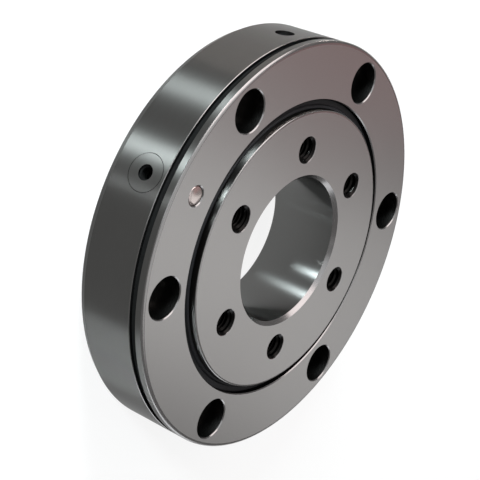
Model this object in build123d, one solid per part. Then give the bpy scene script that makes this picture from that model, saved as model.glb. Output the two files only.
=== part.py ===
from build123d import *
import math
import os

# Flange type crossed roller bearing, in millimetres. +Z is the bearing's axis and points out of the
# front face, where the outer ring's counterbores are. The origin is the centre of the outer ring's
# back face, on which the bearing lies.

# Rings
outer_d = 112.0             # outer diameter of the outer ring
bore_d = 40.0               # bore of the inner ring
ring_width = 21.0           # each ring, measured along the axis
ring_offset = 1.0           # the inner ring stands this far in front of the outer ring
rolling_inset = 10.0        # bolt circle of the outer ring to the circle of the roller centres
ring_gap = 0.6              # radial gap between the two rings beside the raceways

# Screw holes of the outer ring, counterbored for socket head screws
outer_bolts = 6
outer_bolt_edge = 7.5       # bolt circle to the rim
clearance_hole_d = 6.6
counterbore_d = 11.0
counterbore_depth = 6.8

# Tapped holes of the inner ring, as plain holes of the thread's major diameter
inner_bolts = 6
inner_bolt_edge = 8.0       # bore wall to the bolt circle
inner_bolt_phase = 28.3     # degrees that the inner ring is turned to at rest
thread_d = 6.0
thread_chamfer = 0.45

# Rim of the outer ring
lip_width = 2.2             # front face to the groove
lip_chamfer = 0.9
groove_width = 2.0
groove_depth = 1.0
taper_length = 2.0          # lead-in taper at the back of the rim, along the axis
taper_depth = 1.0           # the same, measured radially

# Edges of the rings
rim_chamfer = 0.5           # front edge of the inner ring's outside
bore_chamfer = 1.0          # front of the bore

# Rollers, which lie at 45 degrees to the axis, each at right angles to the next
roller_pairs = 12
roller_d = 6.5
roller_end_play = 0.2       # a roller is this much shorter than it is thick
race_clearance = 0.05       # roller to raceway flank

# Spacers, one between each two rollers
spacer_clearance = 0.06     # spacer to roller
spacer_margin = 0.35        # spacer to raceway flank
spacer_wrap = 0.6           # a spacer's edges reach this far past the roller's nearest point
hollow_angle = 120.0        # of the V-shaped hollow that seats a spacer on a roller

# Seals
seal_width = 2.55           # radial width of the seal seat, from the inner ring's rim
seal_height = 2.6
seal_recess = 0.9           # seal face below the outer ring's front face
seal_fall = 0.6             # its face drops this much from the lip to the seat
seal_lip_clearance = 0.05
seal_foot_gap = 0.65        # clear space between its foot and the inner ring

# Filling plug and its pin, grease hole
plug_angle = 29.5           # degrees round from a screw hole
plug_d = 9.7
plug_fit = 0.02             # radial play of plug and pin in their holes
plug_tap_d = 4.0
plug_tap_depth = 4.0
pin_d = 5.0
pin_inset = 8.25            # rim to the pin's axis
pin_recess = 0.25           # pin end below the front face
pin_floor = 3.0             # solid metal left under the pin
grease_angle = -29.5
grease_d = 5.0
grease_depth = 7.0
grease_duct_d = 2.0

# Length by which the cutters of the radial holes stand out of the rim
overcut = 1.0

# Worked out from the sizes above
outer_r = outer_d / 2
bore_r = bore_d / 2
outer_bolt_r = outer_r - outer_bolt_edge
inner_bolt_r = bore_r + inner_bolt_edge
rolling_r = outer_bolt_r - rolling_inset
inner_rim_r = rolling_r - ring_gap / 2
outer_wall_r = rolling_r + ring_gap / 2
front = ring_width
inner_front = ring_width + ring_offset
inner_back = ring_offset
middle = (ring_width + ring_offset) / 2
race_half = (roller_d / 2 + race_clearance) * math.sqrt(2)
roller_length = roller_d - roller_end_play
roller_count = 2 * roller_pairs
pitch_angle = 360 / roller_count
roller_pitch = 2 * rolling_r * math.sin(math.pi / roller_count)
spacer_depth = roller_pitch - roller_d + 2 * spacer_wrap
seat_r = inner_rim_r + seal_width
seal_top = front - seal_recess
seat_floor = seal_top - seal_height
pin_r = outer_r - pin_inset


def turned(outline):
    """Solid of revolution about Z of a closed (radius, height) outline."""
    return revolve(make_face(Polyline([(r, 0, z) for r, z in outline], close=True)), Axis.Z)


def mirrored(outline):
    """The outline on the other side of the bearing's middle plane."""
    return [(r, 2 * middle - z) for r, z in outline]


def around(part, angle):
    return Rot(0, 0, angle) * part


def upright(radius, length, r, angle, top):
    """Cylinder along Z, its top at the given radius, angle and height."""
    return around(Pos(r, 0, top - length / 2) * Cylinder(radius, length), angle)


def mouth(radius, edge, r, angle, top):
    """Cutter for the chamfer round the mouth of a hole along Z."""
    cone = Cone(radius, radius + 2 * edge, 2 * edge)
    return around(Pos(r, 0, top) * cone, angle)


def radial(radius, inner, outer, angle):
    """Cylinder on a radius of the bearing, in the plane of the rollers."""
    rod = Cylinder(radius, outer - inner)
    return around(Pos((inner + outer) / 2, 0, middle) * Rot(0, 90, 0) * rod, angle)


def race(wall_r, side):
    """Outline points of a V raceway, from top to bottom; side +1 is cut outward, -1 inward."""
    apex = rolling_r + side * race_half
    half = abs(apex - wall_r)
    return [(wall_r, middle + half), (apex, middle), (wall_r, middle - half)]


def make_outer_blank():
    """Outer ring with its rim, seal seats and raceway, before any hole is made."""
    groove_front = front - lip_width
    groove_back = groove_front - groove_width
    seat_back_floor = 2 * middle - seat_floor
    outline = [
        (outer_r - taper_depth, 0),
        (outer_r, taper_length),
        (outer_r, groove_back),
        (outer_r - groove_depth, groove_back),
        (outer_r - groove_depth, groove_front),
        (outer_r, groove_front),
        (outer_r, front - lip_chamfer),
        (outer_r - lip_chamfer, front),
        (seat_r, front),
        (seat_r, seat_floor),
        (outer_wall_r, seat_floor),
        *race(outer_wall_r, 1),
        (outer_wall_r, seat_back_floor),
        (seat_r, seat_back_floor),
        (seat_r, 0),
    ]
    return turned(outline)


def make_pin_hole(radius):
    """Blind hole across the filling plug, open at the front face."""
    return upright(radius, front - pin_floor, pin_r, plug_angle, front)


def make_outer_ring(blank):
    ring = blank
    for i in range(outer_bolts):
        angle = i * 360 / outer_bolts
        ring -= upright(clearance_hole_d / 2, ring_width, outer_bolt_r, angle, front)
        ring -= upright(counterbore_d / 2, counterbore_depth, outer_bolt_r, angle, front)
    ring -= radial(plug_d / 2 + plug_fit, outer_wall_r - ring_gap, outer_r + overcut, plug_angle)
    ring -= make_pin_hole(pin_d / 2 + plug_fit)
    ring -= radial(grease_d / 2, outer_r - grease_depth, outer_r + overcut, grease_angle)
    ring -= radial(grease_duct_d / 2, rolling_r, outer_r - grease_depth, grease_angle)
    return ring


def make_filling_plug(blank):
    """Plug cut from the same section as the ring, so that it carries the raceway across its hole."""
    plug = blank & radial(plug_d / 2, outer_wall_r - ring_gap, outer_r + overcut, plug_angle)
    plug -= make_pin_hole(pin_d / 2 + plug_fit)
    plug -= radial(plug_tap_d / 2, outer_r - plug_tap_depth, outer_r + overcut, plug_angle)
    return plug


def make_plug_pin():
    length = front - pin_recess - pin_floor - plug_fit
    return upright(pin_d / 2, length, pin_r, plug_angle, front - pin_recess)


def make_inner_ring():
    outline = [
        (bore_r, inner_back),
        (inner_rim_r, inner_back),
        *reversed(race(inner_rim_r, -1)),
        (inner_rim_r, inner_front - rim_chamfer),
        (inner_rim_r - rim_chamfer, inner_front),
        (bore_r + bore_chamfer, inner_front),
        (bore_r, inner_front - bore_chamfer),
    ]
    ring = turned(outline)
    for i in range(inner_bolts):
        angle = inner_bolt_phase + i * 360 / inner_bolts
        ring -= upright(thread_d / 2, ring_width, inner_bolt_r, angle, inner_front)
        ring -= mouth(thread_d / 2, thread_chamfer, inner_bolt_r, angle, inner_front)
    return ring


def seal_outline():
    """Section of the front seal, pressed into its seat and tapered to a lip beside the inner ring."""
    return [
        (inner_rim_r + seal_foot_gap, seat_floor),
        (seat_r, seat_floor),
        (seat_r, seal_top - seal_fall),
        (inner_rim_r + seal_lip_clearance, seal_top),
    ]


def on_row(part, index):
    """Place a part that is centred on its own origin on the circle of the roller centres."""
    return around(Pos(rolling_r, 0, middle) * part, index * pitch_angle)


def leaning(part, index):
    """Turn a part's Z axis to the axis of a roller and place it; even and odd ones lean opposite ways."""
    return on_row(Rot(0, 45 if index % 2 == 0 else -45, 0) * part, index)


def make_roller(index):
    return leaning(Cylinder(roller_d / 2, roller_length), index)


def make_hollow(index, side):
    """V-shaped cutter round a roller, pointing along the row; side +1 is towards the next roller."""
    half_angle = math.radians(hollow_angle / 2)
    apex = (roller_d / 2 + spacer_clearance) / math.sin(half_angle)
    base = apex - roller_d / math.tan(half_angle)
    corners = [(0, side * apex), (roller_d, side * base), (-roller_d, side * base)]
    section = make_face(Polyline(corners, close=True))
    return leaning(extrude(section, roller_d, both=True), index)


def make_spacer(index):
    """Square plate between two rollers, with a hollow on each side, the two at right angles."""
    side = 2 * (roller_d / 2 + race_clearance - spacer_margin)
    plate = Rot(0, 45, 0) * Box(side, spacer_depth, side)
    return on_row(plate, index + 0.5) - make_hollow(index, 1) - make_hollow(index + 1, -1)


def make_parts():
    blank = make_outer_blank()
    parts = {
        "outer_ring": make_outer_ring(blank),
        "inner_ring": make_inner_ring(),
        "front_seal": turned(seal_outline()),
        "back_seal": turned(mirrored(seal_outline())),
        "filling_plug": make_filling_plug(blank),
        "plug_pin": make_plug_pin(),
    }
    for i in range(roller_count):
        parts[f"roller_{i + 1:02d}"] = make_roller(i)
        parts[f"spacer_{i + 1:02d}"] = make_spacer(i)
    return parts


os.makedirs("parts", exist_ok=True)
for name, part in make_parts().items():
    export_step(part, f"parts/{name}.step")
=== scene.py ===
"""Crossed roller bearing: ground rings, screw holes, threads, seals and filling plug, on a studio floor."""
import math

import bpy
import bmesh
from bpy.props import (
    FloatProperty,
    FloatVectorProperty,
    IntProperty,
    PointerProperty,
)
from bpy.types import Operator, Panel, PropertyGroup
from mathutils import Matrix, Vector


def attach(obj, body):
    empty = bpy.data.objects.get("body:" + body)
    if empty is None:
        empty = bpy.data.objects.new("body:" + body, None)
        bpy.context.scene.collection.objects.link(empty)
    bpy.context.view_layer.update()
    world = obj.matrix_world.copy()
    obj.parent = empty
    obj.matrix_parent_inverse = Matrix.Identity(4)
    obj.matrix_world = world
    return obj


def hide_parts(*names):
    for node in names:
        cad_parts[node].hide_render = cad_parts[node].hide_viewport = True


bl_info = {
    "name": "Crossed Roller Bearing",
    "version": (1, 0, 0),
    "blender": (4, 5, 0),
    "location": "View3D > Sidebar > Bearing",
    "description": "Builds the rings, screw holes, threads, seals and plug of a crossed roller bearing",
    "category": "Object",
}

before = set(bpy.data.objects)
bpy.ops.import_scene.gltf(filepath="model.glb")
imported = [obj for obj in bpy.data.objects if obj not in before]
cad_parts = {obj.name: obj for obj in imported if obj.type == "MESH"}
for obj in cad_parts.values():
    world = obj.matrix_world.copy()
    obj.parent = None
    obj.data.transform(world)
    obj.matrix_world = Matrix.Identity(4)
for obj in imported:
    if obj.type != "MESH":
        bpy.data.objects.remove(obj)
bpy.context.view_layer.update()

MM = 0.001
TURN = 2 * math.pi

# How far a cutter stands out of the metal
OVERCUT = 1.0 * MM
# How near a face lies to a turned surface that it is part of
TOLERANCE = 0.02 * MM
# Cosine above which two directions count as one
SAME_WAY = 0.9
# Gap between the pin and its hole
PIN_GAP = 0.02 * MM
# How far below the rim the threads of its holes end
THREAD_START = 0.15 * MM
# Rounding of the seals' edges
SEAL_ROUNDING = 0.15 * MM

# Angles, in radians, from which an edge stays sharp
METAL_SHARP = 0.5
THREAD_SHARP = 0.7

# Facets round a screw hole, a rod, the pin, a turn of a thread and a seal
HOLE_STEPS = 64
ROD_STEPS = 96
PIN_STEPS = 72
THREAD_STEPS = 36
SEAL_STEPS = 360

# Section of a thread's ridge, as shares of its pitch
RIDGE_DEPTH = 0.54
RIDGE_FOOT = 0.44
RIDGE_CREST = 0.06
RIDGE_SINK = 0.02

# Camera's place in metres, and its own axes: to the right, upwards and backwards
CAMERA_PLACE = (0.24247, 0.16066, 0.19478)
CAMERA_RIGHT = (-0.2088989677, -0.5992300008, 0.7728419162)
CAMERA_UP = (0.6797842960, -0.6571024403, -0.3257448294)
CAMERA_BACK = (0.7030323835, 0.4573180393, 0.5446151657)
# Width of the sensor in millimetres, and the nearest and farthest that is seen, in metres
SENSOR_WIDTH = 36.0
NEAREST, FARTHEST = 0.01, 50.0

# Facets of the floor, and how far it lies below the bearing
FLOOR_STEPS = 96
FLOOR_DROP = 0.05 * MM

# Points that the lamps face: near the bearing's middle, and a little higher for the low panels
MIDDLE = (0, 0, 0.015)
ABOVE = (0, 0, 0.03)
# Colours that more than one lamp has
DAYLIGHT = (0.87, 0.98, 1.0)
PALE_BLUE = (0.9, 0.97, 1.0)
WHITE = (1.0, 1.0, 1.0)

# Finishes of the rings and the plug, numbered as the outlines use them. The rim, the bore, the hole walls
# and the drilled and tapped walls carry painted shade in their darkened colours.
STEEL_FINISHES = (
    "Ground rim",
    "Ground face",
    "Turned edge",
    "Dark hole",
    "Honed bore",
    "Drilled wall",
    "Tapped wall",
)
RIM, FACE, EDGE, HOLE_SHADE, BORE, DRILLED, TAPPED = range(len(STEEL_FINISHES))


def length(name, description, default):
    """A size in metres, shown in the scene's length unit; the default is written in millimetres."""
    return FloatProperty(
        name=name, description=description, default=default * MM, min=0.0, unit="LENGTH", precision=5
    )


def angle(name, description, default):
    """An angle, shown in degrees; the default is written in degrees."""
    return FloatProperty(
        name=name, description=description, default=math.radians(default), unit="ROTATION"
    )


def colour(name, description, default):
    """A colour, as linear red, green and blue."""
    return FloatVectorProperty(
        name=name, description=description, default=default, min=0.0, max=1.0, size=3, subtype="COLOR"
    )


def factor(name, description, default, most=1.0):
    """A share, from nothing to the most it can be."""
    return FloatProperty(
        name=name, description=description, default=default, min=0.0, max=most, subtype="FACTOR"
    )


class RingSizes(PropertyGroup):
    """Sizes of the two rings and of what sits in them."""

    steps: IntProperty(
        name="Steps", description="Facets round each turned surface", default=480, min=48
    )
    outer_r: length("Outer radius", "Axis to the outer ring's rim", 56.0)
    width: length("Width", "Outer ring, measured along the axis", 21.0)
    offset: length("Offset", "Inner ring's faces in front of the outer ring's", 1.0)
    lip: length("Lip", "Front face to the groove", 2.2)
    lip_round: length("Lip rounding", "Rounded front edge of the rim, from the rim inwards", 1.0)
    edge_lean: angle("Edge lean", "Angle to the rim at which the rounded edges start", 40)
    groove_width: length("Groove width", "Groove in the rim, along the axis", 2.0)
    groove_depth: length("Groove depth", "Groove in the rim, from the rim inwards", 1.0)
    edge_break: length("Edge break", "Small chamfer on the groove's edge and the back edges", 0.12)
    taper_length: length("Taper length", "Lead-in taper at the back, along the axis", 2.0)
    taper_depth: length("Taper depth", "Lead-in taper at the back, inwards", 1.0)
    seat_r: length("Seat radius", "Axis to the wall of the seal seats", 40.75)
    seat_depth: length("Seat depth", "Front face to the floor of the seal seat", 3.5)
    seat_chamfer: length("Seat chamfer", "Mouth of each seal seat", 0.25)
    wall_r: length("Wall radius", "Axis to the outer ring's wall beside the raceway", 38.8)
    inner_r: length("Inner rim radius", "Axis to the inner ring's outside", 38.2)
    race_r: length("Row radius", "Axis to the roller centres", 38.5)
    race_half: length("Raceway half height", "Half the height of the V raceways", 4.667)
    rim_chamfer: length("Rim chamfer", "Edges of the inner ring's outside, from the outside inwards", 0.5)
    bore_r: length("Bore radius", "Axis to the bore", 20.0)
    bore_chamfer: length("Bore chamfer", "Front of the bore", 1.0)


class HoleSizes(PropertyGroup):
    """Sizes and places of the screw holes, the plug and the grease hole."""

    outer_count: IntProperty(
        name="Outer screws", description="Counterbored holes in the outer ring", default=6, min=1
    )
    outer_circle: length("Outer circle", "Axis to the counterbored holes", 48.5)
    clearance_r: length("Clearance radius", "Through hole for a screw's shank", 3.3)
    counterbore_r: length("Counterbore radius", "Seat of a screw's head", 5.5)
    counterbore_depth: length("Counterbore depth", "Front face to the seat of the head", 6.8)
    counterbore_break: length("Counterbore break", "Chamfer of the mouth", 0.25)
    inner_count: IntProperty(
        name="Inner screws", description="Tapped holes in the inner ring", default=6, min=1
    )
    inner_circle: length("Inner circle", "Axis to the tapped holes", 28.0)
    inner_phase: angle("Inner phase", "Turn of the inner ring's holes at rest", 28.3)
    thread_r: length("Thread radius", "Major radius of the tapped holes", 3.0)
    thread_pitch: length("Thread pitch", "Pitch of the tapped holes", 1.0)
    thread_chamfer: length("Thread countersink", "From the wall of each tapped hole outwards", 0.58)
    thread_break: length("Thread break", "Depth of the bright edge round each countersink", 0.08)
    break_lean: angle("Break lean", "Angle of the bright edge to the hole's axis", 60)
    plug_angle: angle("Plug angle", "Round from the first counterbored hole", 29.5)
    plug_r: length("Plug radius", "Filling plug in the rim", 4.85)
    plug_seam: length("Plug seam", "Bevel on each side of the seam round the plug", 0.07)
    plug_thread_r: length("Plug thread radius", "Hole in the middle of the plug", 2.0)
    plug_thread_depth: length("Plug thread depth", "Hole in the middle of the plug", 4.0)
    plug_thread_pitch: length("Plug thread pitch", "Pitch of the plug's thread", 0.7)
    pin_r: length("Pin radius", "Pin across the plug", 2.5)
    pin_circle: length("Pin circle", "Axis to the pin", 47.75)
    pin_recess: length("Pin recess", "Front face to the pin's end", 0.25)
    pin_floor: length("Pin floor", "Metal left under the pin", 3.0)
    pin_dome: length("Pin dome", "Rise of the pin's domed end", 0.2)
    pin_shift: length("Pin shift", "Highest point of the dome off the pin's middle", 0.9)
    pin_lean: angle("Pin lean", "Direction in which the highest point is off the middle", 110)
    pin_break: length("Pin break", "Chamfer of the pin and of its hole", 0.25)
    grease_angle: angle("Grease angle", "Round from the first counterbored hole", -29.5)
    grease_r: length("Grease radius", "Grease hole in the rim", 2.5)
    grease_depth: length("Grease depth", "Tapped part of the grease hole", 7.0)
    grease_duct_r: length("Grease duct radius", "Duct on to the rollers", 1.0)
    grease_pitch: length("Grease thread pitch", "Pitch of the grease hole's thread", 0.8)


class SealSizes(PropertyGroup):
    """Sizes of the two seals."""

    recess: length("Recess", "Seal's face below the outer ring's front face", 0.9)
    fall: length("Fall", "Seal's face drops this much from lip to seat", 0.6)
    lip_gap: length("Lip gap", "Lip to the inner ring", 0.05)
    lip_width: length("Lip width", "Flat of the lip", 0.75)
    foot_gap: length("Foot gap", "Seal's foot to the inner ring", 0.65)


class Finishes(PropertyGroup):
    """Colours and gloss of the steel, rubber and plastic."""

    # Painted shade: the rim is the faces' ground steel, its colour darkened far below theirs for the dark
    # room that it mirrors
    rim_shade_colour: colour("Rim", "Ground rim", (0.06, 0.059, 0.057))
    # Painted shade: the bore is the faces' steel, its colour darkened for the shade inside the bore
    bore_shade_colour: colour("Bore", "Honed bore", (0.138, 0.14, 0.137))
    rim_roughness: factor("Rim roughness", "Gloss of the ground rim and the bore", 0.28)
    face_colour: colour("Face", "Ground faces", (0.45, 0.441, 0.437))
    face_roughness: factor("Face roughness", "Gloss of the ground faces", 0.3)
    edge_colour: colour("Edge", "Turned chamfers", (0.38, 0.372, 0.37))
    edge_roughness: factor("Edge roughness", "Gloss of the turned chamfers", 0.21)
    # Painted shade: near black on the steel of the groove, the seal seats and the small threads, for the
    # shade in these recesses
    hole_shade_colour: colour("Hole", "Dark walls of holes and groove", (0.004, 0.004, 0.004))
    hole_roughness: factor("Hole roughness", "Gloss of the dark walls", 0.55)
    # Painted shade: the drilled and tapped walls are steel darkened for the shade inside the holes, the
    # tapped ones nearly black
    drill_shade_colour: colour("Drilled wall", "Walls of the screw holes", (0.11, 0.107, 0.104))
    tap_shade_colour: colour("Tapped wall", "Walls and threads of the tapped holes", (0.013, 0.0125, 0.012))
    drill_roughness: factor("Drilled roughness", "Gloss of the drilled walls", 0.26)
    seal_colour: colour("Seal", "Rubber of the seals", (0.012, 0.012, 0.014))
    seal_roughness: factor("Seal roughness", "Gloss of the rubber", 0.6)
    pin_colour: colour("Pin", "Bright end of the plug's pin", (0.7, 0.62, 0.6))
    pin_roughness: factor("Pin roughness", "Gloss of the pin's end", 0.16)
    roller_colour: colour("Roller", "Lapped rollers", (0.55, 0.55, 0.56))
    roller_roughness: factor("Roller roughness", "Gloss of the rollers", 0.15)
    spacer_colour: colour("Spacer", "Plastic spacers between the rollers", (0.62, 0.58, 0.47))
    spacer_roughness: factor("Spacer roughness", "Gloss of the spacers", 0.45)


class Stage(PropertyGroup):
    """Sizes and colours of the camera, the floor and the even light."""

    focal: FloatProperty(
        name="Focal length", description="For a sensor 36 mm wide", default=96.55, min=10.0
    )
    floor_radius: FloatProperty(
        name="Floor radius", description="Half the floor's width", default=4.0, min=0.5, unit="LENGTH"
    )
    floor_colour: colour("Floor", "Paper under the bearing", (0.16, 0.16, 0.16))
    floor_lift: factor("Floor lift", "White added to the lit paper", 0.84)
    world_colour: colour("World", "Even light from all round", (1.0, 0.97, 0.96))
    world_strength: factor("World strength", "Even light from all round", 0.19, 10.0)


def linked(name, mesh):
    """Object of a mesh, in the scene."""
    item = bpy.data.objects.new(name, mesh)
    bpy.context.scene.collection.objects.link(item)
    return item


def mesh_object(name, mesh, body, replaced=()):
    """Piece of the bearing that rides on a body, and stands for the nodes that it replaces."""
    piece = linked(name, mesh)
    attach(piece, body)
    if replaced:
        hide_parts(*replaced)
    return piece


def remove(*objects):
    """Takes helper objects out of the file."""
    for item in objects:
        bpy.data.objects.remove(item, do_unlink=True)


def smooth(mesh, sharp):
    """Smooth shading that keeps the edges from an angle upwards."""
    mesh.shade_smooth()
    mesh.set_sharp_from_angle(angle=sharp)


def finished_mesh(name, shell):
    """Mesh of a closed shell, its faces turned outwards."""
    bmesh.ops.recalc_face_normals(shell, faces=shell.faces)
    mesh = bpy.data.meshes.new(name)
    shell.to_mesh(mesh)
    shell.free()
    return mesh


def turned_mesh(name, outline, steps, hollow=True):
    """Solid turned about Z from a (radius, height) outline: hollow and closed, or with two flat ends."""
    shell = bmesh.new()
    rings = []
    for radius, height in outline:
        ring = []
        for i in range(steps):
            turn = TURN * i / steps
            ring.append(shell.verts.new((radius * math.cos(turn), radius * math.sin(turn), height)))
        rings.append(ring)
    pairs = list(zip(rings, rings[1:]))
    if hollow:
        pairs.append((rings[-1], rings[0]))
    for ring, following in pairs:
        for i in range(steps):
            j = (i + 1) % steps
            shell.faces.new((ring[i], ring[j], following[j], following[i]))
    if not hollow:
        shell.faces.new(rings[0])
        shell.faces.new(rings[-1])
    return finished_mesh(name, shell)


def rod_mesh(name, outline, steps=HOLE_STEPS):
    """Rod or cutter turned about Z from a (radius, height) outline."""
    return turned_mesh(name, outline, steps, hollow=False)


def thread_mesh(name, radius, pitch, low, high):
    """Ridge of an internal thread along Z, standing in from the wall of its hole."""
    depth = RIDGE_DEPTH * pitch
    foot = RIDGE_FOOT * pitch
    crest = RIDGE_CREST * pitch
    sink = RIDGE_SINK * pitch
    shell = bmesh.new()
    count = int(THREAD_STEPS * (high - low - 2 * foot) / pitch)
    previous = None
    for i in range(count + 1):
        turn = TURN * i / THREAD_STEPS
        height = low + foot + pitch * i / THREAD_STEPS
        # The ridge grows out of the wall and fades into it over half a turn
        run = min(i, count - i) / (THREAD_STEPS / 2)
        reach = depth * min(1.0, run) + sink
        section = []
        for r, z in (
            (radius + sink, height - foot),
            (radius + sink - reach, height - crest),
            (radius + sink - reach, height + crest),
            (radius + sink, height + foot),
        ):
            section.append(shell.verts.new((r * math.cos(turn), r * math.sin(turn), z)))
        if previous:
            for k in range(len(section)):
                n = (k + 1) % len(section)
                shell.faces.new((previous[k], previous[n], section[n], section[k]))
        else:
            shell.faces.new(section)
        previous = section
    shell.faces.new(previous)
    bmesh.ops.remove_doubles(shell, verts=shell.verts, dist=0.0001 * MM)
    return finished_mesh(name, shell)


def node(tree, kind, inputs=None, **properties):
    """New node with its properties set, and its inputs set to values or fed from other nodes."""
    made = tree.nodes.new(kind)
    for key, value in properties.items():
        setattr(made, key, value)
    for key, source in (inputs or {}).items():
        if isinstance(source, bpy.types.NodeSocket):
            tree.links.new(source, made.inputs[key])
        else:
            made.inputs[key].default_value = source
    return made


def pattern_tree(name, cuts):
    """Geometry Nodes tree that repeats an object round Z, and cuts the copies out if asked to."""
    tree = bpy.data.node_groups.new(name, "GeometryNodeTree")
    for label, kind in (
        ("Geometry", "Geometry"),
        ("Repeated", "Object"),
        ("Count", "Int"),
        ("Circle Radius", "Float"),
        ("First Angle", "Float"),
        ("Material", "Material"),
    ):
        tree.interface.new_socket(label, in_out="INPUT", socket_type=f"NodeSocket{kind}")
    tree.interface.new_socket("Geometry", in_out="OUTPUT", socket_type="NodeSocketGeometry")
    given = node(tree, "NodeGroupInput").outputs
    circle = node(
        tree, "GeometryNodeMeshCircle", {"Vertices": given["Count"], "Radius": given["Circle Radius"]}
    )
    source = node(tree, "GeometryNodeObjectInfo", {"Object": given["Repeated"]})
    index = node(tree, "GeometryNodeInputIndex").outputs["Index"]
    share = node(tree, "ShaderNodeMath", {0: index, 1: given["Count"]}, operation="DIVIDE")
    turn = node(tree, "ShaderNodeMath", {0: share.outputs[0], 1: TURN}, operation="MULTIPLY")
    facing = node(tree, "ShaderNodeCombineXYZ", {"Z": turn.outputs[0]})
    copies = node(
        tree,
        "GeometryNodeInstanceOnPoints",
        {
            "Points": circle.outputs["Mesh"],
            "Instance": source.outputs["Geometry"],
            "Rotation": facing.outputs["Vector"],
        },
    )
    phase = node(tree, "ShaderNodeCombineXYZ", {"Z": given["First Angle"]})
    turned = node(
        tree,
        "GeometryNodeTransform",
        {"Geometry": copies.outputs["Instances"], "Rotation": phase.outputs["Vector"]},
    )
    real = node(tree, "GeometryNodeRealizeInstances", {"Geometry": turned.outputs["Geometry"]})
    if cuts:
        boolean = node(
            tree,
            "GeometryNodeMeshBoolean",
            {"Mesh 1": given["Geometry"], "Mesh 2": real.outputs["Geometry"]},
            operation="DIFFERENCE",
            solver="EXACT",
        )
        real = node(tree, "GeometryNodeRealizeInstances", {"Geometry": boolean.outputs["Mesh"]})
    paint = node(
        tree,
        "GeometryNodeSetMaterial",
        {"Geometry": real.outputs["Geometry"], "Material": given["Material"]},
    )
    node(tree, "NodeGroupOutput", {"Geometry": paint.outputs["Geometry"]})
    return tree


def evaluated_mesh(item):
    """Plain mesh of an object with its modifiers applied."""
    bpy.context.view_layer.update()
    depsgraph = bpy.context.evaluated_depsgraph_get()
    return bpy.data.meshes.new_from_object(item.evaluated_get(depsgraph), depsgraph=depsgraph)


def run_pattern(name, cuts, mesh, repeated, values):
    """Mesh with another mesh repeated round the axis, cut out of it or in its place."""
    tree = bpy.data.node_groups.get(name) or pattern_tree(name, cuts)
    holder = linked("holder", mesh)
    original = linked("repeated", repeated)
    modifier = holder.modifiers.new("Pattern", "NODES")
    modifier.node_group = tree
    values = {"Repeated": original, **values}
    for item in tree.interface.items_tree:
        if item.item_type == "SOCKET" and item.in_out == "INPUT" and item.name in values:
            modifier[item.identifier] = values[item.name]
    holder.update_tag()
    made = evaluated_mesh(holder)
    remove(holder, original)
    return made


def cut_round(mesh, cutter, count, circle, phase):
    """Mesh with a cutter taken out of it at even steps round the axis."""
    values = {"Count": count, "Circle Radius": circle, "First Angle": phase}
    return run_pattern("Cut round the axis", True, mesh, cutter, values)


def copy_round(mesh, count, circle, phase, material):
    """Mesh repeated at even steps round the axis."""
    values = {"Count": count, "Circle Radius": circle, "First Angle": phase, "Material": material}
    return run_pattern("Copy round the axis", False, bpy.data.meshes.new("copies"), mesh, values)


def boolean_mesh(mesh, cutter, operation):
    """Mesh of one exact boolean between two meshes."""
    base = linked("base", mesh)
    tool = linked("tool", cutter)
    modifier = base.modifiers.new("Boolean", "BOOLEAN")
    modifier.operation = operation
    modifier.solver = "EXACT"
    modifier.object = tool
    made = evaluated_mesh(base)
    remove(base, tool)
    return made


def dome(radius, base, rise, steps=8):
    """Outline of a shallow domed end, from its rim to just short of its middle."""
    points = []
    for i in range(1, steps):
        share = 1 - i / steps
        points.append((radius * share, base + rise * (1 - share * share)))
    return points


def radial_matrix(turn, start, height):
    """Puts a piece made along Z onto a radius of the bearing, its zero at the given distance."""
    along = Vector((math.cos(turn), math.sin(turn), 0))
    place = Matrix.Translation(along * start + Vector((0, 0, height)))
    return place @ Matrix.Rotation(turn, 4, "Z") @ Matrix.Rotation(math.pi / 2, 4, "Y")


def rounded_edge(corner_r, corner_z, depth, lean, steps=6):
    """Rows of a section round a front edge, each with its finish and the centre of the rounding."""
    radius = depth / math.cos(lean)
    centre = (corner_r - depth, corner_z - radius)
    rows = []
    for step in range(steps):
        turn = lean + (math.pi / 2 - lean) * step / steps
        spot = (centre[0] + radius * math.cos(turn), centre[1] + radius * math.sin(turn))
        rows.append((spot, EDGE, centre))
    return rows


def matching_band(outline, face):
    """Stretch of an outline that all of a face's (radius, height) points lie on, and its normal."""
    for band, ((r1, z1), (r2, z2)) in enumerate(zip(outline, outline[1:] + outline[:1])):
        size = math.hypot(r2 - r1, z2 - z1)
        across, up = (z2 - z1) / size, (r1 - r2) / size
        if any(abs((r - r1) * across + (z - z1) * up) >= TOLERANCE for r, z in face):
            continue
        low_r, high_r = min(r1, r2) - TOLERANCE, max(r1, r2) + TOLERANCE
        low_z, high_z = min(z1, z2) - TOLERANCE, max(z1, z2) + TOLERANCE
        if all(low_r < r < high_r and low_z < z < high_z for r, z in face):
            return band, across, up
    return None


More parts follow.
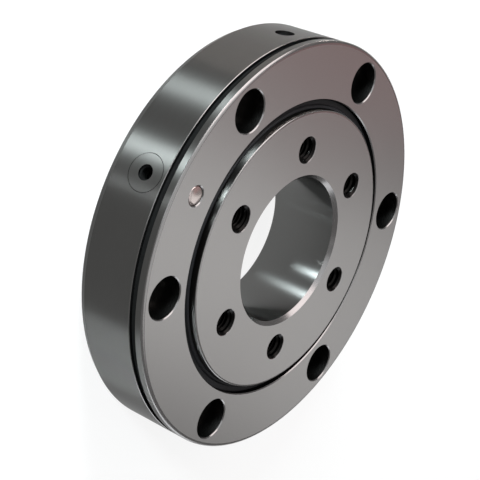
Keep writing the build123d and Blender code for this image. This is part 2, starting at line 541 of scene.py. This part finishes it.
def finish_surface(mesh, outline, bands, finishes, wall, chamfer, flattest=0.5):
    """Give each turned band its exact normals and its finish, and every other face the hole's.

    A face of a hole whose normal is more along the axis than the flattest counts as its chamfer.
    """
    mesh.materials.clear()
    for material in finishes:
        mesh.materials.append(material)
    smooth(mesh, METAL_SHARP)
    normals = [Vector(corner.vector) for corner in mesh.corner_normals]
    coords = [v.co for v in mesh.vertices]
    for face in mesh.polygons:
        spots = [(math.hypot(coords[v].x, coords[v].y), coords[v].z) for v in face.vertices]
        match = matching_band(outline, spots)
        if match is None:
            sloped = flattest < abs(face.normal.z) < SAME_WAY
            face.material_index = chamfer if sloped else wall
            continue
        band, across, up = match
        rise = Vector((0, 0, up))
        outward = Vector((face.center.x, face.center.y, 0)).normalized()
        agreement = (outward * across + rise).dot(face.normal)
        if abs(agreement) < SAME_WAY:
            face.material_index = wall
            continue
        side = 1 if agreement > 0 else -1
        face.material_index, *rounding = bands[band]
        for corner in face.loop_indices:
            point = coords[mesh.loops[corner].vertex_index]
            direction = Vector((point.x, point.y, 0)).normalized()
            normals[corner] = (direction * across + rise) * side
            if rounding:
                centre_r, centre_z = rounding[0]
                from_centre = point - direction * centre_r - Vector((0, 0, centre_z))
                normals[corner] = from_centre.normalized()
    mesh.normals_split_custom_set([tuple(n) for n in normals])


def start_material(name):
    """New material, its tree, its shader and the place on the piece."""
    material = bpy.data.materials.new(name)
    material.use_nodes = True
    tree = material.node_tree
    place = node(tree, "ShaderNodeTexCoord").outputs["Object"]
    return material, tree, tree.nodes["Principled BSDF"], place


def noise(tree, place, scale, detail, roughness):
    """Grey noise at a place."""
    settings = {"Vector": place, "Scale": scale, "Detail": detail, "Roughness": roughness}
    return node(tree, "ShaderNodeTexNoise", settings).outputs["Fac"]


def vary_colour(tree, shader, base, amount, spread):
    """Colour of a shader that wanders from the base colour by a grey pattern."""
    dark = [c * (1 - spread) for c in base]
    light = [min(1.0, c * (1 + spread)) for c in base]
    factor_socket, dark_socket, light_socket, colour_result = 0, 6, 7, 2
    mix = node(
        tree,
        "ShaderNodeMix",
        {factor_socket: amount, dark_socket: (*dark, 1), light_socket: (*light, 1)},
        data_type="RGBA",
    )
    tree.links.new(mix.outputs[colour_result], shader.inputs["Base Color"])


def emboss(tree, shader, pattern, strength, depth):
    """Fine relief of a shader from a grey pattern; the depth is in millimetres."""
    relief = node(tree, "ShaderNodeBump", {"Height": pattern, "Strength": strength, "Distance": depth * MM})
    tree.links.new(relief.outputs["Normal"], shader.inputs["Normal"])


def across_marks(tree, place):
    """Direction along the surface and square to the marks that turning and grinding leave round Z."""
    around = node(tree, "ShaderNodeVectorMath", {0: (0, 0, 1), 1: place}, operation="CROSS_PRODUCT")
    turned = node(
        tree,
        "ShaderNodeVectorTransform",
        {0: around.outputs["Vector"]},
        vector_type="VECTOR",
        convert_from="OBJECT",
        convert_to="WORLD",
    )
    normal = node(tree, "ShaderNodeNewGeometry").outputs["Normal"]
    across = node(
        tree, "ShaderNodeVectorMath", {0: normal, 1: turned.outputs[0]}, operation="CROSS_PRODUCT"
    )
    even = node(tree, "ShaderNodeVectorMath", {0: across.outputs["Vector"]}, operation="NORMALIZE")
    return even.outputs["Vector"]


def rolled_out(tree, place, around):
    """Place on the piece as distance from Z, shortened way round Z, and height."""
    x, y, z = node(tree, "ShaderNodeSeparateXYZ", {0: place}).outputs
    flat = node(tree, "ShaderNodeCombineXYZ", {"X": x, "Y": y})
    span = node(tree, "ShaderNodeVectorMath", {0: flat.outputs[0]}, operation="LENGTH")
    turn = node(tree, "ShaderNodeMath", {0: y, 1: x}, operation="ARCTAN2")
    short = node(tree, "ShaderNodeMath", {0: turn.outputs[0], 1: around}, operation="MULTIPLY")
    rolled = {"X": span.outputs["Value"], "Y": short.outputs[0], "Z": z}
    return node(tree, "ShaderNodeCombineXYZ", rolled).outputs[0]


def steel(name, base, roughness, grain, spread, around, bump=0.0, anisotropy=0.0, grazing=1.0):
    """Machined steel: fine marks stretched along the cut, small changes of tone, directional gloss.

    Around is the length in metres that a radian counts as, short so that the marks are drawn out.
    """
    marks_share = 0.6
    gloss_spread = 0.01
    material, tree, shader, place = start_material(name)
    marks = noise(tree, rolled_out(tree, place, around), scale=grain, detail=2.0, roughness=0.5)
    clouds = noise(tree, place, scale=55.0, detail=2.0, roughness=0.5)
    soft = node(tree, "ShaderNodeMath", {0: clouds, 1: 1 - marks_share}, operation="MULTIPLY")
    blend = node(
        tree, "ShaderNodeMath", {0: marks, 1: marks_share, 2: soft.outputs[0]}, operation="MULTIPLY_ADD"
    )
    vary_colour(tree, shader, base, blend.outputs[0], spread)
    gloss = node(
        tree,
        "ShaderNodeMapRange",
        {
            "Value": marks,
            "From Min": 0.3,
            "From Max": 0.7,
            "To Min": roughness * (1 - gloss_spread),
            "To Max": roughness * (1 + gloss_spread),
        },
    )
    tree.links.new(gloss.outputs["Result"], shader.inputs["Roughness"])
    if bump:
        emboss(tree, shader, marks, strength=bump, depth=0.02)
    shader.inputs["Metallic"].default_value = 1.0
    shader.inputs["Anisotropic"].default_value = anisotropy
    shader.inputs["Specular Tint"].default_value = (grazing, grazing, grazing, 1)
    if anisotropy:
        tree.links.new(across_marks(tree, place), shader.inputs["Tangent"])
    return material


def matt(name, base, roughness, grain, bump, shine):
    """Rubber, plastic, or a near-black hole wall that is painted shade, with a fine grain."""
    material, tree, shader, place = start_material(name)
    pattern = noise(tree, place, scale=grain, detail=3.0, roughness=0.55)
    vary_colour(tree, shader, base, pattern, spread=0.35)
    emboss(tree, shader, pattern, strength=bump, depth=0.03)
    shader.inputs["Roughness"].default_value = roughness
    shader.inputs["Specular IOR Level"].default_value = shine
    return material


def drilled(name, base, roughness):
    """Drilled steel, its colour darkened as painted shade inside the hole, with fine rings along the hole
    that catch the light.
    """
    ring_stretch = (0.06, 0.06, 1.0)
    material, tree, shader, place = start_material(name)
    rings = node(tree, "ShaderNodeMapping", {"Vector": place, "Scale": ring_stretch})
    pattern = noise(tree, rings.outputs["Vector"], scale=4200.0, detail=3.0, roughness=0.6)
    vary_colour(tree, shader, base, pattern, spread=0.5)
    emboss(tree, shader, pattern, strength=0.35, depth=0.04)
    shader.inputs["Roughness"].default_value = roughness
    shader.inputs["Metallic"].default_value = 1.0
    return material


def materials():
    """The bearing's materials, made once."""
    if "Ground rim" in bpy.data.materials:
        return bpy.data.materials
    look = bpy.context.scene.bearing_finishes
    ground = {"grain": 2600.0, "spread": 0.08, "around": 0.008, "anisotropy": 1.0}
    lapped = {"grain": 3000.0, "around": 0.02}
    # The rim's dark colour and its grazing tint below one are painted shade, for the dark surroundings that
    # the rim mirrors
    steel("Ground rim", look.rim_shade_colour, look.rim_roughness, grazing=0.75, **ground)
    # The bore's darkened colour is painted shade inside the bore
    steel("Honed bore", look.bore_shade_colour, look.rim_roughness, **ground)
    steel(
        "Ground face",
        look.face_colour,
        look.face_roughness,
        spread=0.05,
        bump=0.08,
        anisotropy=0.25,
        **lapped,
    )
    steel("Turned edge", look.edge_colour, look.edge_roughness, grain=3200.0, spread=0.04, around=0.0006)
    # The near-black hole material is painted shade on steel recesses
    matt("Dark hole", look.hole_shade_colour, look.hole_roughness, grain=900.0, bump=0.3, shine=0.0)
    # The drilled and tapped walls' dark colours are painted shade inside the holes
    drilled("Drilled wall", look.drill_shade_colour, look.drill_roughness)
    drilled("Tapped wall", look.tap_shade_colour, look.drill_roughness)
    matt("Seal rubber", look.seal_colour, look.seal_roughness, grain=1800.0, bump=0.25, shine=0.3)
    steel("Pin end", look.pin_colour, look.pin_roughness, spread=0.08, bump=0.1, **lapped)
    steel("Lapped roller", look.roller_colour, look.roller_roughness, spread=0.04, bump=0.05, **lapped)
    matt("Spacer plastic", look.spacer_colour, look.spacer_roughness, grain=1200.0, bump=0.2, shine=0.5)
    return bpy.data.materials


def steel_set():
    """The finishes of the rings and the plug, in the order of their numbers."""
    known = materials()
    return [known[name] for name in STEEL_FINISHES]


def split_rows(rows):
    """Points of an outline, and the finish and rounding of the stretch after each."""
    return [row[0] for row in rows], [row[1:] for row in rows]


def outer_outline(s):
    """Section of the outer ring, and the finish of each stretch of it."""
    front, back = s.width, 0.0
    middle = (s.width + s.offset) / 2
    half = s.race_half - (s.wall_r - s.race_r)
    apex = s.race_r + s.race_half
    groove_front = front - s.lip
    groove_back = groove_front - s.groove_width
    floor = front - s.seat_depth
    rows = [
        ((s.outer_r - s.taper_depth, back + s.edge_break), RIM),
        ((s.outer_r, s.taper_length), RIM),
        ((s.outer_r, groove_back - s.edge_break), EDGE),
        # The groove's walls, the seal seats and the walls beside the raceway get near-black painted shade
        # over their steel
        ((s.outer_r - s.edge_break, groove_back), HOLE_SHADE),
        ((s.outer_r - s.groove_depth, groove_back), HOLE_SHADE),
        ((s.outer_r - s.groove_depth, groove_front), HOLE_SHADE),
        ((s.outer_r, groove_front), RIM),
        *rounded_edge(s.outer_r, front, s.lip_round, s.edge_lean),
        ((s.outer_r - s.lip_round, front), FACE),
        ((s.seat_r + s.seat_chamfer, front), EDGE),
        ((s.seat_r, front - s.seat_chamfer), HOLE_SHADE),
        ((s.seat_r, floor), HOLE_SHADE),
        ((s.wall_r, floor), HOLE_SHADE),
        ((s.wall_r, middle + half), RIM),
        ((apex, middle), RIM),
        ((s.wall_r, middle - half), HOLE_SHADE),
        ((s.wall_r, 2 * middle - floor), HOLE_SHADE),
        ((s.seat_r, 2 * middle - floor), HOLE_SHADE),
        ((s.seat_r, back + s.seat_chamfer), EDGE),
        ((s.seat_r + s.seat_chamfer, back), FACE),
        ((s.outer_r - s.taper_depth - s.edge_break, back), EDGE),
    ]
    return split_rows(rows)


def inner_outline(s):
    """Section of the inner ring, and the finish of each stretch of it."""
    front, back = s.width + s.offset, s.offset
    middle = (s.width + s.offset) / 2
    half = s.race_half - (s.race_r - s.inner_r)
    apex = s.race_r - s.race_half
    rows = [
        ((s.bore_r + s.edge_break, back), FACE),
        ((s.inner_r - s.rim_chamfer, back), EDGE),
        ((s.inner_r, back + s.rim_chamfer), RIM),
        ((s.inner_r, middle - half), RIM),
        ((apex, middle), RIM),
        ((s.inner_r, middle + half), RIM),
        *rounded_edge(s.inner_r, front, s.rim_chamfer, s.edge_lean),
        ((s.inner_r - s.rim_chamfer, front), FACE),
        ((s.bore_r + s.bore_chamfer, front), EDGE),
        ((s.bore_r, front - s.bore_chamfer), BORE),
        ((s.bore_r, back + s.edge_break), EDGE),
    ]
    return split_rows(rows)


def plug_rod(s, h, name, radius, low, high):
    """Rod along the plug's radius between two distances from the axis."""
    rod = rod_mesh(name, [(radius, 0), (radius, high - low)], ROD_STEPS)
    rod.transform(radial_matrix(h.plug_angle, low, (s.width + s.offset) / 2))
    return rod


def pin_spot(h, height=0.0):
    """Point on the pin's own axis."""
    return Vector((h.pin_circle * math.cos(h.plug_angle), h.pin_circle * math.sin(h.plug_angle), height))


def pin_cutter(s, h):
    """Cutter for the pin's hole, with a chamfer at the front face."""
    radius = h.pin_r + PIN_GAP
    outline = [
        (radius, h.pin_floor),
        (radius, s.width - h.pin_break),
        (radius + h.pin_break + OVERCUT, s.width + OVERCUT),
    ]
    cutter = rod_mesh("pin hole", outline)
    cutter.transform(Matrix.Translation(pin_spot(h)))
    return cutter


def screw_cutter(s, h):
    """Cutter for a screw's shank and for its head, with a chamfer at the front face."""
    seat = s.width - h.counterbore_depth
    outline = [
        (h.clearance_r, -OVERCUT),
        (h.clearance_r, seat),
        (h.counterbore_r, seat),
        (h.counterbore_r, s.width - h.counterbore_break),
        (h.counterbore_r + h.counterbore_break + OVERCUT, s.width + OVERCUT),
    ]
    return rod_mesh("screw hole", outline)


def grease_cutter(s, h):
    """Cutter for the grease hole in the rim and the duct behind it."""
    step = s.outer_r - h.grease_depth
    outline = [
        (h.grease_duct_r, s.race_r),
        (h.grease_duct_r, step),
        (h.grease_r, step),
        (h.grease_r, s.outer_r + OVERCUT),
    ]
    cutter = rod_mesh("grease hole", outline)
    cutter.transform(radial_matrix(h.grease_angle, 0, (s.width + s.offset) / 2))
    return cutter


def tap_cutter(s, h):
    """Cutter for a tapped hole, with a countersink and a flatter bright edge at both faces."""
    front, back = s.width + s.offset, s.offset
    sink_r = h.thread_r + h.thread_chamfer
    mouth_r = sink_r + (OVERCUT + h.thread_break) * math.tan(h.break_lean)
    depth = h.thread_break + h.thread_chamfer
    outline = [
        (mouth_r, back - OVERCUT),
        (sink_r, back + h.thread_break),
        (h.thread_r, back + depth),
        (h.thread_r, front - depth),
        (sink_r, front - h.thread_break),
        (mouth_r, front + OVERCUT),
    ]
    return rod_mesh("tapped hole", outline)


class BEARING_OT_outer_ring(Operator):
    """Turn the outer ring and drill its screw holes, plug hole, pin hole and grease hole"""

    bl_idname = "bearing.outer_ring"
    bl_label = "Outer Ring"

    def execute(self, context):
        s = context.scene.bearing_rings
        h = context.scene.bearing_holes
        outline, bands = outer_outline(s)
        ring = turned_mesh("outer_ring", outline, s.steps)
        ring = cut_round(ring, screw_cutter(s, h), h.outer_count, h.outer_circle, 0.0)
        cutters = (
            plug_rod(s, h, "plug hole", h.plug_r + h.plug_seam, s.inner_r, s.outer_r + OVERCUT),
            pin_cutter(s, h),
            grease_cutter(s, h),
        )
        for cutter in cutters:
            ring = boolean_mesh(ring, cutter, "DIFFERENCE")
        finish_surface(ring, outline, bands, steel_set(), wall=DRILLED, chamfer=EDGE)
        mesh_object("outer_ring_steel", ring, "outer_race", ("outer_ring",))
        return {"FINISHED"}


class BEARING_OT_inner_ring(Operator):
    """Turn the inner ring and drill its tapped holes"""

    bl_idname = "bearing.inner_ring"
    bl_label = "Inner Ring"

    def execute(self, context):
        s = context.scene.bearing_rings
        h = context.scene.bearing_holes
        outline, bands = inner_outline(s)
        ring = turned_mesh("inner_ring", outline, s.steps)
        ring = cut_round(ring, tap_cutter(s, h), h.inner_count, h.inner_circle, h.inner_phase)
        finish_surface(ring, outline, bands, steel_set(), wall=TAPPED, chamfer=EDGE, flattest=0.8)
        mesh_object("inner_ring_steel", ring, "inner_race", ("inner_ring",))
        return {"FINISHED"}


class BEARING_OT_threads(Operator):
    """Cut the threads of the tapped holes, the plug and the grease hole"""

    bl_idname = "bearing.threads"
    bl_label = "Threads"

    def execute(self, context):
        s = context.scene.bearing_rings
        h = context.scene.bearing_holes
        # The plug's and the grease hole's threads get the near-black painted shade; the screw threads get
        # the darkened tapped wall
        cut, dark = materials()["Tapped wall"], materials()["Dark hole"]
        low = s.offset + h.thread_chamfer
        high = s.width + s.offset - h.thread_chamfer
        ridge = thread_mesh("ridge", h.thread_r, h.thread_pitch, low, high)
        threads = copy_round(ridge, h.inner_count, h.inner_circle, h.inner_phase, cut)
        smooth(threads, THREAD_SHARP)
        mesh_object("inner_screw_threads", threads, "inner_race")
        for name, radius, pitch, depth, turn in (
            ("plug_thread", h.plug_thread_r, h.plug_thread_pitch, h.plug_thread_depth, h.plug_angle),
            ("grease_thread", h.grease_r, h.grease_pitch, h.grease_depth, h.grease_angle),
        ):
            mesh = thread_mesh(name, radius, pitch, s.outer_r - depth, s.outer_r - THREAD_START)
            mesh.transform(radial_matrix(turn, 0, (s.width + s.offset) / 2))
            mesh.materials.append(dark)
            smooth(mesh, THREAD_SHARP)
            mesh_object(name, mesh, "outer_race")
        return {"FINISHED"}


class BEARING_OT_plug(Operator):
    """Make the filling plug, ground flush with the rim, and the pin that holds it"""

    bl_idname = "bearing.plug"
    bl_label = "Filling Plug and Pin"

    def execute(self, context):
        s = context.scene.bearing_rings
        h = context.scene.bearing_holes
        self.make_plug(s, h)
        self.make_pin(s, h)
        return {"FINISHED"}

    def make_plug(self, s, h):
        """Plug cut from a blank turned like the outer ring, with its pin hole and its tapped hole."""
        outline, bands = outer_outline(s)
        far = s.outer_r + OVERCUT
        plug = turned_mesh("filling_plug", outline, s.steps)
        rod = plug_rod(s, h, "plug rod", h.plug_r - h.plug_seam, s.inner_r, far)
        plug = boolean_mesh(plug, rod, "INTERSECT")
        tap = plug_rod(s, h, "plug tap", h.plug_thread_r, s.outer_r - h.plug_thread_depth, far)
        for cutter in (pin_cutter(s, h), tap):
            plug = boolean_mesh(plug, cutter, "DIFFERENCE")
        finish_surface(plug, outline, bands, steel_set(), wall=TAPPED, chamfer=EDGE)
        mesh_object("filling_plug_steel", plug, "outer_race", ("filling_plug",))

    def make_pin(self, s, h):
        """Chamfered pin whose domed end is highest a little off its middle."""
        top = s.width - h.pin_recess
        end_r = h.pin_r - h.pin_break
        outline = [
            (end_r, h.pin_floor + PIN_GAP),
            (h.pin_r, h.pin_floor + h.pin_break),
            (h.pin_r, top - h.pin_break),
            (end_r, top),
            *dome(end_r, top, h.pin_dome),
        ]
        pin = rod_mesh("plug_pin", outline, PIN_STEPS)
        pin.transform(Matrix.Translation(pin_spot(h)))
        base = pin_spot(h, top)
        aside = Vector((math.cos(h.pin_lean), math.sin(h.pin_lean), 0)) * h.pin_shift
        for point in pin.vertices:
            point.co += aside * max(0.0, (point.co.z - base.z) / h.pin_dome)
        pin.materials.append(materials()["Pin end"])
        smooth(pin, METAL_SHARP)
        mesh_object("plug_pin_steel", pin, "outer_race", ("plug_pin",))


class BEARING_OT_seals(Operator):
    """Make the two seals between the rings"""

    bl_idname = "bearing.seals"
    bl_label = "Seals"

    def execute(self, context):
        s = context.scene.bearing_rings
        seal = context.scene.bearing_seals
        floor = s.width - s.seat_depth
        top = s.width - seal.recess
        lip = s.inner_r + seal.lip_gap
        foot = s.inner_r + seal.foot_gap
        front = [
            (foot, floor),
            (s.seat_r, floor),
            (s.seat_r, top - seal.fall - SEAL_ROUNDING),
            (s.seat_r - SEAL_ROUNDING, top - seal.fall),
            (lip + seal.lip_width + seal.fall / 2, top - seal.fall),
            (lip + seal.lip_width, top - SEAL_ROUNDING),
            (lip + seal.lip_width - SEAL_ROUNDING, top),
            (lip + SEAL_ROUNDING, top),
            (lip, top - SEAL_ROUNDING),
            (lip, top - 2 * seal.fall),
            (foot, top - 2 * seal.fall - seal.foot_gap),
        ]
        back = [(r, s.width + s.offset - z) for r, z in front]
        rubber = [materials()["Seal rubber"]]
        for name, outline in (("front_seal", front), ("back_seal", back)):
            mesh = turned_mesh(name, outline, SEAL_STEPS)
            finish_surface(mesh, outline, [(0,)] * len(outline), rubber, wall=0, chamfer=0)
            mesh_object(f"{name}_rubber", mesh, "outer_race", (name,))
        return {"FINISHED"}


class BEARING_OT_rollers(Operator):
    """Give the rollers and the spacers between them their finishes"""

    bl_idname = "bearing.rollers"
    bl_label = "Rollers and Spacers"

    def execute(self, context):
        finishes = {"roller_": "Lapped roller", "spacer_": "Spacer plastic"}
        known = materials()
        for name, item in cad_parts.items():
            for start, finish in finishes.items():
                if name.startswith(start):
                    item.data.materials.clear()
                    item.data.materials.append(known[finish])
        return {"FINISHED"}


def add_camera(stage):
    """Camera at the photograph's angle."""
    scene = bpy.context.scene
    camera = bpy.data.objects.new("camera", bpy.data.cameras.new("camera"))
    camera.data.sensor_width = SENSOR_WIDTH
    camera.data.lens = stage.focal
    camera.data.clip_start = NEAREST
    camera.data.clip_end = FARTHEST
    turn = Matrix((CAMERA_RIGHT, CAMERA_UP, CAMERA_BACK)).transposed().to_4x4()
    camera.matrix_world = Matrix.Translation(CAMERA_PLACE) @ turn
    scene.collection.objects.link(camera)
    scene.camera = camera


def white_paper(stage):
    """Paper that takes shadows, with white added where it is seen, mirrored or seen through glass."""
    paper = bpy.data.materials.new("White paper")
    paper.use_nodes = True
    tree = paper.node_tree
    tree.nodes.clear()
    diffuse = node(tree, "ShaderNodeBsdfDiffuse", {"Color": (*stage.floor_colour, 1)})
    path = node(tree, "ShaderNodeLightPath").outputs
    seen = path["Is Camera Ray"]
    for ray in ("Is Glossy Ray", "Is Transmission Ray"):
        seen = node(tree, "ShaderNodeMath", {0: seen, 1: path[ray]}, operation="MAXIMUM").outputs[0]
    lift = node(tree, "ShaderNodeMath", {0: seen, 1: stage.floor_lift}, operation="MULTIPLY")
    glow = node(tree, "ShaderNodeEmission", {"Strength": lift.outputs[0]})
    total = node(tree, "ShaderNodeAddShader", {0: diffuse.outputs[0], 1: glow.outputs[0]})
    node(tree, "ShaderNodeOutputMaterial", {"Surface": total.outputs[0]})
    return paper


def add_floor(stage):
    """Round sheet of paper a hair below the bearing."""
    sheet = bmesh.new()
    bmesh.ops.create_circle(sheet, cap_ends=True, segments=FLOOR_STEPS, radius=stage.floor_radius)
    mesh = bpy.data.meshes.new("floor")
    sheet.to_mesh(mesh)
    sheet.free()
    mesh.transform(Matrix.Translation((0, 0, -FLOOR_DROP)))
    mesh.materials.append(white_paper(stage))
    linked("floor", mesh)


def add_room(stage):
    """Even light from all round."""
    world = bpy.data.worlds.new("Room")
    world.use_nodes = True
    background = world.node_tree.nodes["Background"].inputs
    background["Color"].default_value = (*stage.world_colour, 1)
    background["Strength"].default_value = stage.world_strength
    bpy.context.scene.world = world


def around_axis(distance, azimuth, elevation):
    """Point at an azimuth from +X and an elevation, in degrees, seen from the bearing."""
    a, e = math.radians(azimuth), math.radians(elevation)
    return (
        distance * math.cos(e) * math.cos(a),
        distance * math.cos(e) * math.sin(a),
        distance * math.sin(e),
    )


def lamp(name, spot, size, power, tint=WHITE, aim=MIDDLE):
    """Rectangular area lamp, its width and height in metres and its power in watts, facing a point."""
    data = bpy.data.lights.new(name, "AREA")
    data.shape = "RECTANGLE"
    data.size, data.size_y = size
    data.energy = power
    data.color = tint
    item = bpy.data.objects.new(name, data)
    item.location = spot
    item.rotation_mode = "QUATERNION"
    item.rotation_quaternion = (Vector(aim) - Vector(spot)).to_track_quat("-Z", "Y")
    item.visible_camera = False
    bpy.context.scene.collection.objects.link(item)


def add_lamps():
    """Soft panels for the faces and the lower rim, and upright strips that streak the rim and the bore."""
    at = around_axis
    lamp("panel overhead", (-0.13, -0.08, 1.2), size=(1.3, 1.3), power=3.0)
    lamp("panel behind", at(1.2, 210, 38), size=(0.3, 0.6), power=0.41, tint=(1.0, 1.0, 0.99))
    lamp("rose panel", at(1.2, 238, 33), size=(0.55, 0.6), power=0.2, tint=(1.0, 0.34, 0.34))
    lamp("warm panel", at(1.0, -46, 40), size=(0.8, 0.8), power=4.0, tint=(1.0, 0.91, 0.9))
    lamp("window strip", at(0.9, -19.5, 14), size=(0.15, 0.44), power=19.0, tint=DAYLIGHT)
    lamp("second strip", at(0.9, 15.2, 8), size=(0.12, 0.24), power=18.0, tint=DAYLIGHT)
    lamp("thin strip", at(0.9, 34, 3), size=(0.03, 0.08), power=1.6, tint=PALE_BLUE)
    lamp("window above", at(1.0, 20, 57), size=(0.6, 0.3), power=0.45, tint=(0.95, 0.98, 1.0))
    lamp("left panel", at(1.1, 120, 1.6), size=(0.8, 0.06), power=20.0, tint=PALE_BLUE, aim=ABOVE)
    lamp("right panel", at(1.1, -63, 1.6), size=(1.13, 0.06), power=14.0, tint=(1.0, 0.9, 0.85), aim=ABOVE)
    lamp("side panel", at(1.1, 142, 15), size=(1.37, 0.39), power=2.0, tint=(0.94, 0.97, 1.0))


class BEARING_OT_stage(Operator):
    """Set the camera, the white floor, the lamps and the even light of the room"""

    bl_idname = "bearing.stage"
    bl_label = "Stage"

    def execute(self, context):
        stage = context.scene.bearing_stage
        context.scene.view_settings.view_transform = "Standard"
        add_camera(stage)
        add_floor(stage)
        add_room(stage)
        add_lamps()
        return {"FINISHED"}


class BEARING_PT_panel(Panel):
    """Sizes, finishes and steps of the bearing"""

    bl_label = "Crossed Roller Bearing"
    bl_space_type = "VIEW_3D"
    bl_region_type = "UI"
    bl_category = "Bearing"

    def draw(self, context):
        for name in GROUPS:
            group = getattr(context.scene, name)
            box = self.layout.box()
            for key in group.__annotations__:
                box.prop(group, key)
        for step in STEPS:
            self.layout.operator(step.bl_idname)


STEPS = (
    BEARING_OT_outer_ring,
    BEARING_OT_inner_ring,
    BEARING_OT_threads,
    BEARING_OT_plug,
    BEARING_OT_seals,
    BEARING_OT_rollers,
    BEARING_OT_stage,
)
GROUPS = {
    "bearing_rings": RingSizes,
    "bearing_holes": HoleSizes,
    "bearing_seals": SealSizes,
    "bearing_finishes": Finishes,
    "bearing_stage": Stage,
}


def register():
    """Adds the sizes, the steps and the panel."""
    for group in GROUPS.values():
        bpy.utils.register_class(group)
    for name, group in GROUPS.items():
        setattr(bpy.types.Scene, name, PointerProperty(type=group))
    for step in STEPS:
        bpy.utils.register_class(step)
    bpy.utils.register_class(BEARING_PT_panel)


def unregister():
    """Takes the panel, the steps and the sizes away again."""
    bpy.utils.unregister_class(BEARING_PT_panel)
    for step in reversed(STEPS):
        bpy.utils.unregister_class(step)
    for name in GROUPS:
        delattr(bpy.types.Scene, name)
    for group in reversed(GROUPS.values()):
        bpy.utils.unregister_class(group)


def main():
    """Build the bearing and its stage."""
    register()
    bpy.ops.bearing.outer_ring()
    bpy.ops.bearing.inner_ring()
    bpy.ops.bearing.threads()
    bpy.ops.bearing.plug()
    bpy.ops.bearing.seals()
    bpy.ops.bearing.rollers()
    bpy.ops.bearing.stage()


if __name__ == "__main__":
    main()
